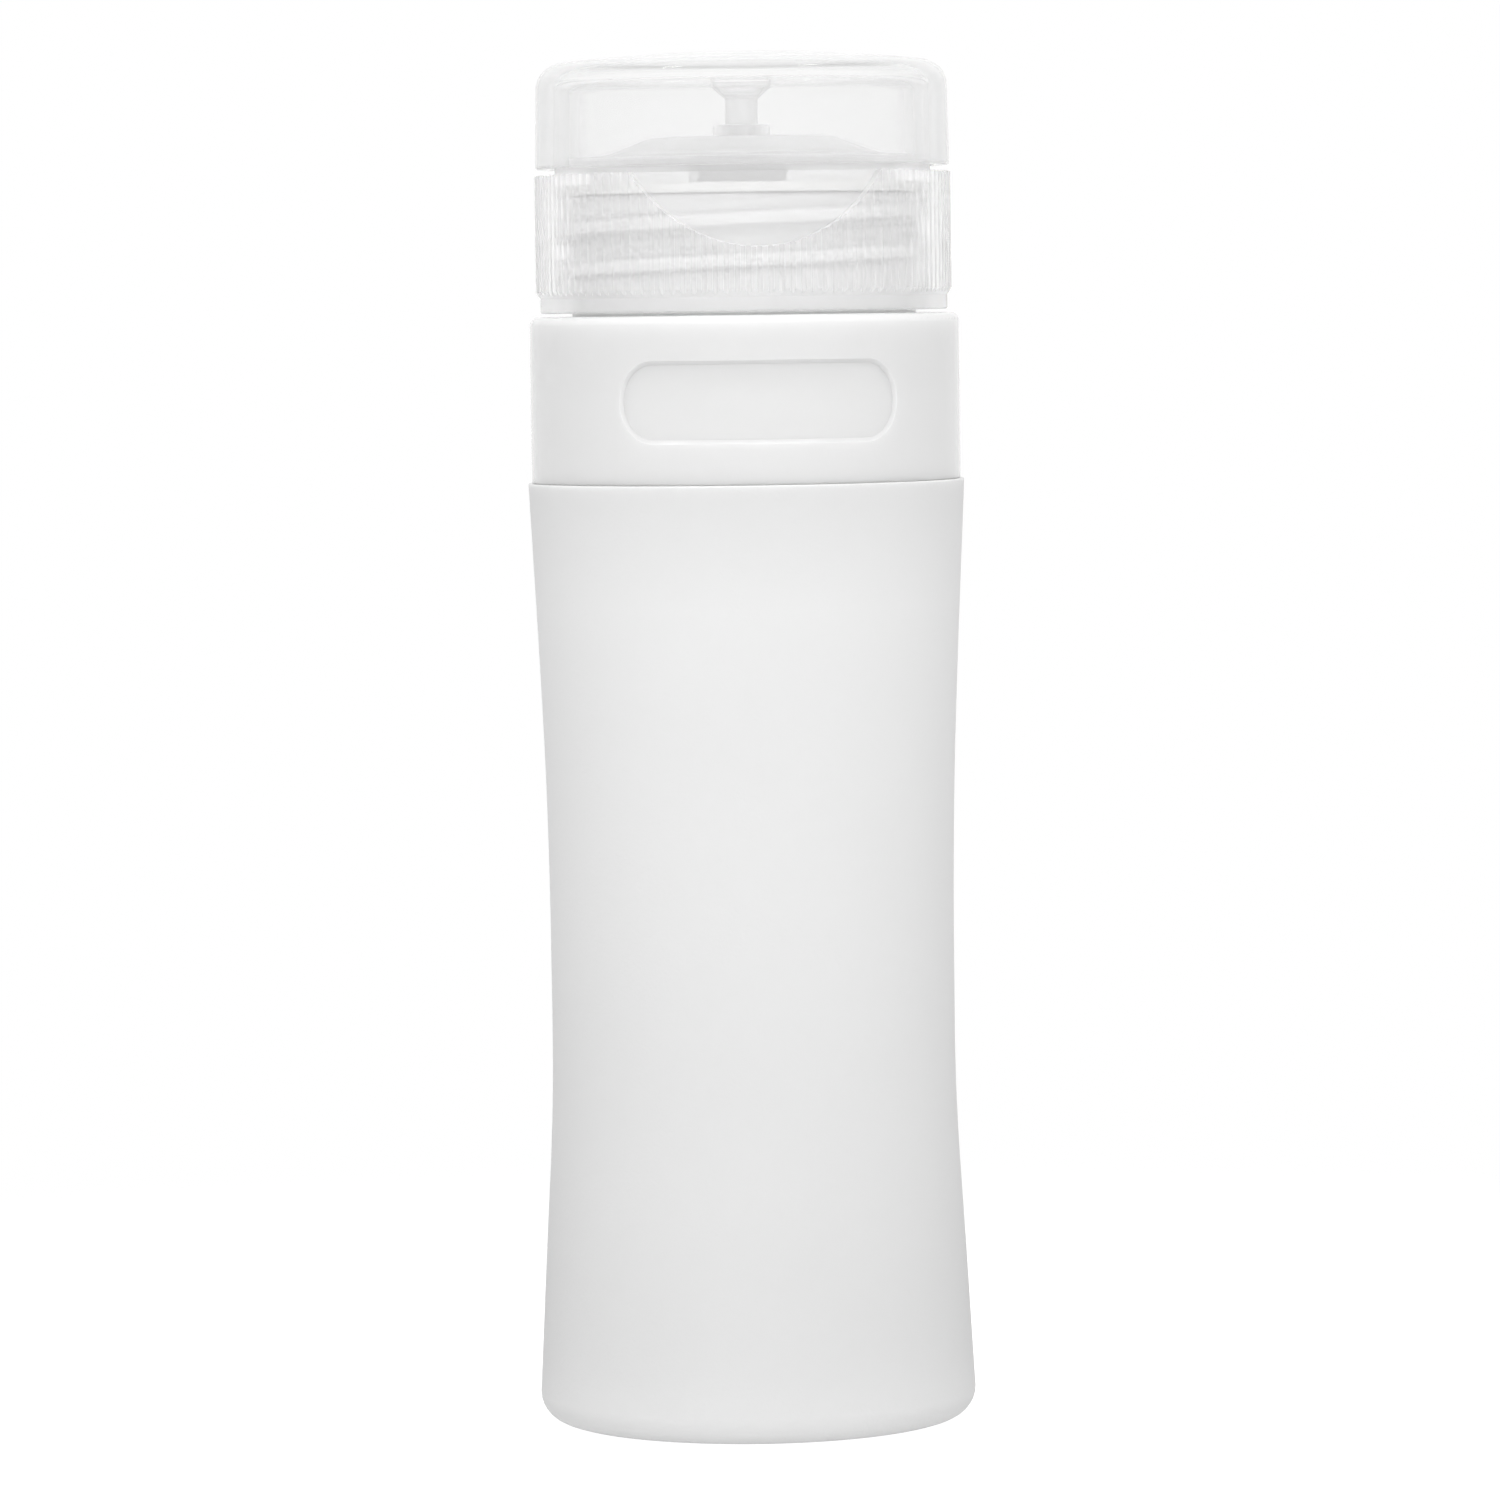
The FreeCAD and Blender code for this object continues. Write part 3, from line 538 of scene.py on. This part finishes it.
def strap_mesh():
    """The strap in rows across it, from the cap's leaf up to the lid's."""
    form = bmesh.new()
    rows = []
    for k in range(STRAP_ROWS + 1):
        height = strap_low.z + (strap_high.z - strap_low.z) * k / STRAP_ROWS
        back = strap_back(height)
        half = strap_high.x
        loop = (
            (-half, strap_low.y), (half, strap_low.y), (half, back - STRAP_SIDE),
            (half - STRAP_SIDE, back), (-half + STRAP_SIDE, back), (-half, back - STRAP_SIDE),
        )
        rows.append([form.verts.new((x, y, height)) for x, y in loop])
    for here, there in zip(rows, rows[1:]):
        for k in range(len(here)):
            nearby = (k + 1) % len(here)
            form.faces.new((here[k], here[nearby], there[nearby], there[k]))
    form.faces.new(rows[0])
    form.faces.new(rows[-1])
    bmesh.ops.recalc_face_normals(form, faces=form.faces)
    mesh = bpy.data.meshes.new("strap")
    form.to_mesh(mesh)
    form.free()
    return mesh


strap = bpy.data.objects.new("strap", strap_mesh())
bpy.context.collection.objects.link(strap)
strap.data.materials.append(clear_plastic)
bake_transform(strap)
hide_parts("hinge_strap")


# Floor: a plain pale table that glows white to the camera, as a lit studio table does. It gives little
# light back, so the flask darkens downwards. Close round the foot it glows unseen by the camera, as painted
# light on the flask's foot from below. It fades into the surround.
FLOOR_REACH = 1.0
FLOOR_FULL = 0.06
FLOOR_GONE = 0.22
FLOOR_GLOW = 0.95
# Glow round the foot, seen only by light rays: painted light on the flask's foot from below.
FOOT_GLOW = 0.5
FOOT_GLOW_FULL = 0.021
FOOT_GLOW_GONE = 0.036
form = bmesh.new()
bmesh.ops.create_grid(form, x_segments=1, y_segments=1, size=FLOOR_REACH)
floor_mesh = bpy.data.meshes.new("floor")
form.to_mesh(floor_mesh)
form.free()
floor = bpy.data.objects.new("floor", floor_mesh)
bpy.context.collection.objects.link(floor)
pale_floor, shader = moulded(
    "pale_floor", tint=(0.30, 0.30, 0.30), cloud_tint=(0.29, 0.29, 0.29), cloud_scale=3,
    grain_scale=60, polished=0.8, dull=0.9, relief=0.0)
shader.inputs["Emission Color"].default_value = (1, 1, 1, 1)
shader.inputs["Specular IOR Level"].default_value = 0.0
nodes, links = pale_floor.node_tree.nodes, pale_floor.node_tree.links
place = nodes.new("ShaderNodeTexCoord")
reach = nodes.new("ShaderNodeVectorMath")
reach.operation = "LENGTH"
links.new(place.outputs["Object"], reach.inputs[0])


def falls_off(full, gone, most):
    """A level over the floor: the most out to one distance from the middle, nothing beyond another."""
    level = nodes.new("ShaderNodeMapRange")
    level.interpolation_type = "SMOOTHSTEP"
    level.inputs["From Min"].default_value = full
    level.inputs["From Max"].default_value = gone
    level.inputs["To Min"].default_value = most
    level.inputs["To Max"].default_value = 0.0
    links.new(reach.outputs["Value"], level.inputs["Value"])
    return level.outputs["Result"]


ray = nodes.new("ShaderNodeLightPath")
glow = nodes.new("ShaderNodeMix")
glow.inputs["B"].default_value = FLOOR_GLOW
links.new(ray.outputs["Is Camera Ray"], glow.inputs["Factor"])
links.new(falls_off(FOOT_GLOW_FULL, FOOT_GLOW_GONE, FOOT_GLOW), glow.inputs["A"])
links.new(glow.outputs["Result"], shader.inputs["Emission Strength"])
links.new(falls_off(FLOOR_FULL, FLOOR_GONE, 1.0), shader.inputs["Alpha"])
floor.data.materials.append(pale_floor)


# Light: a white surround, brightest in front and dimmest at the sides, seen as plain white past the bottle
# and through its clear pieces. Two small soft boxes hang high on the left and on the right, and a large
# soft fill stands in front.
FRONT_LIGHT = 1.25
SIDE_LIGHT = 0.66
BACK_LIGHT = 0.80
FRONT_WAY = (-0.067, -0.97, 0.22)
world = bpy.data.worlds.new("surround")
bpy.context.scene.world = world
world.use_nodes = True
nodes, links = world.node_tree.nodes, world.node_tree.links
lighting = nodes["Background"]
way = nodes.new("ShaderNodeTexCoord")
facing = nodes.new("ShaderNodeVectorMath")
facing.operation = "DOT_PRODUCT"
facing.inputs[1].default_value = FRONT_WAY
links.new(way.outputs["Generated"], facing.inputs[0])
away = nodes.new("ShaderNodeMath")
away.operation = "ABSOLUTE"
links.new(facing.outputs["Value"], away.inputs[0])
evenly = nodes.new("ShaderNodeMath")
evenly.operation = "MULTIPLY_ADD"
links.new(away.outputs["Value"], evenly.inputs[0])
evenly.inputs[1].default_value = (FRONT_LIGHT + BACK_LIGHT) / 2 - SIDE_LIGHT
evenly.inputs[2].default_value = SIDE_LIGHT
level = nodes.new("ShaderNodeMath")
level.operation = "MULTIPLY_ADD"
links.new(facing.outputs["Value"], level.inputs[0])
level.inputs[1].default_value = (FRONT_LIGHT - BACK_LIGHT) / 2
links.new(evenly.outputs["Value"], level.inputs[2])
links.new(level.outputs["Value"], lighting.inputs["Strength"])
lighting.inputs["Color"].default_value = (1, 1, 1, 1)
backdrop = nodes.new("ShaderNodeBackground")
backdrop.inputs["Color"].default_value = (1, 1, 1, 1)
backdrop.inputs["Strength"].default_value = 1.0
ray = nodes.new("ShaderNodeLightPath")
seen = nodes.new("ShaderNodeMath")
seen.operation = "LESS_THAN"
links.new(ray.outputs["Is Diffuse Ray"], seen.inputs[0])
seen.inputs[1].default_value = 0.5
surround = nodes.new("ShaderNodeMixShader")
links.new(seen.outputs["Value"], surround.inputs["Fac"])
links.new(lighting.outputs["Background"], surround.inputs[1])
links.new(backdrop.outputs["Background"], surround.inputs[2])
links.new(surround.outputs["Shader"], nodes["World Output"].inputs["Surface"])
bpy.context.scene.view_settings.view_transform = "Standard"


def soft_box(name, place, target, size, watts):
    """A round lamp at a place, turned towards a target; returns the object that holds it."""
    lamp = bpy.data.lights.new(name, "AREA")
    lamp.shape = "DISK"
    lamp.size = size
    lamp.energy = watts
    holder = bpy.data.objects.new(name, lamp)
    holder.location = place
    holder.rotation_mode = "QUATERNION"
    holder.rotation_quaternion = (Vector(target) - Vector(place)).to_track_quat("-Z", "Y")
    bpy.context.collection.objects.link(holder)
    return holder


TOP = (0, 0, cad_high.z)
MIDDLE = (0, 0, cad_high.z / 2)
BOX_LEFT = (-0.38, -0.08, 0.95)
BOX_RIGHT = (0.34, -0.12, 0.97)
BOX_SIZE = 0.13
BOX_WATTS = 1.3
FILL_PLACE = (-0.03, -0.55, 0.32)
FILL_SIZE = 0.5
FILL_WATTS = 1.3
soft_box("soft_box_left", BOX_LEFT, TOP, BOX_SIZE, BOX_WATTS)
soft_box("soft_box_right", BOX_RIGHT, TOP, BOX_SIZE, BOX_WATTS)
front_fill = soft_box("front_fill", FILL_PLACE, MIDDLE, FILL_SIZE, FILL_WATTS)
front_fill.visible_glossy = False


# Camera: at the photograph's angle, a little to the left of the front, level with the foot of the cap,
# looking slightly down and rolled a little.
VIEW_AZIMUTH = math.radians(-4.4)
VIEW_ROLL = math.radians(0.77)
VIEW_DISTANCE = 0.74
VIEW_HEIGHT = 110.5 * MM
VIEW_MIDDLE = 66.1 * MM
VIEW_WIDTH = 148 * MM
camera_data = bpy.data.cameras.new("camera")
camera = bpy.data.objects.new("camera", camera_data)
bpy.context.collection.objects.link(camera)
camera.location = (
    VIEW_DISTANCE * math.sin(VIEW_AZIMUTH), -VIEW_DISTANCE * math.cos(VIEW_AZIMUTH), VIEW_HEIGHT)
sight = Vector((0, 0, VIEW_MIDDLE)) - camera.location
camera.rotation_mode = "QUATERNION"
camera.rotation_quaternion = sight.to_track_quat("-Z", "Y") @ Quaternion((0, 0, 1), -VIEW_ROLL)
camera_data.lens = camera_data.sensor_width * sight.length / VIEW_WIDTH
bpy.context.scene.camera = camera
